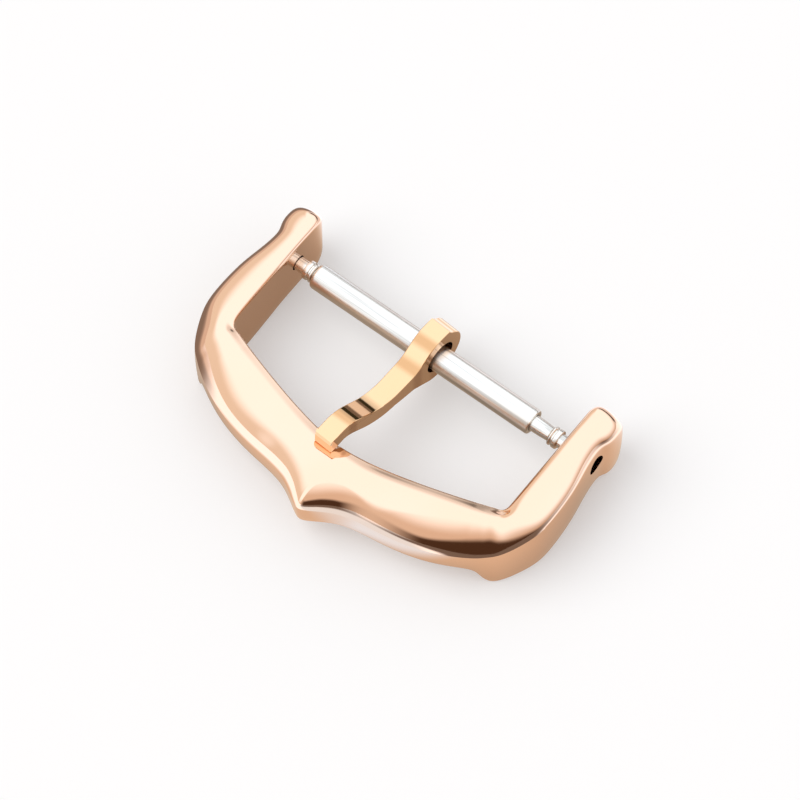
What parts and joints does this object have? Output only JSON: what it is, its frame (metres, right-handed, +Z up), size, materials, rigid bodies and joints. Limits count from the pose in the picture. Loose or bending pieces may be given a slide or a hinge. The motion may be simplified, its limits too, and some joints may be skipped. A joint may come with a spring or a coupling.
{
  "type": "watch strap buckle",
  "caption": "Tang buckle for a watch strap: a bowed polished frame with a pointed front, a pivoting tongue and a telescopic spring bar.",
  "frame": {"origin": "middle of the spring bar's axis, halfway between the two arms", "axes": "+X along the spring bar, -Y to the pointed front of the buckle, +Z up, away from the surface that the feet rest on"},
  "size_m": [0.0232, 0.0148, 0.0058],
  "materials": {
    "rose_gold_frame": "mirror polished rose gold plating on stainless steel",
    "gold_tongue": "polished plating, slightly yellower than the frame",
    "bar_steel": "satin turned stainless steel",
    "spring_wire": "drawn spring wire"
  },
  "bodies": {
    "frame": {"buckle_frame": "rose_gold_frame"},
    "tongue": {"tongue": "gold_tongue"},
    "left_plunger": {"left_plunger": "bar_steel"},
    "bar": {"spring_bar_tube": "bar_steel", "compression_spring": "spring_wire"},
    "right_plunger": {"right_plunger": "bar_steel"}
  },
  "joints": [
    {"name": "tongue_swing", "type": "hinge", "parent": "frame", "child": "tongue", "pos_m": [0, 0, 0], "axis": [-1, 0, 0], "range_deg": [0, 320]},
    {"name": "left_tip_push", "type": "slide", "parent": "frame", "child": "left_plunger", "axis": [1, 0, 0], "range_m": [0, 0.00055], "stiffness_N_per_m": 600, "springref_m": -0.0015, "deforming": ["compression_spring"]},
    {"name": "bar_spin", "type": "hinge", "parent": "left_plunger", "child": "bar", "pos_m": [0, 0, 0], "axis": [1, 0, 0], "continuous": true},
    {"name": "right_tip_push", "type": "slide", "parent": "frame", "child": "right_plunger", "axis": [-1, 0, 0], "range_m": [0, 0.00055], "stiffness_N_per_m": 600, "springref_m": -0.0015, "deforming": ["compression_spring"]}
  ]
}
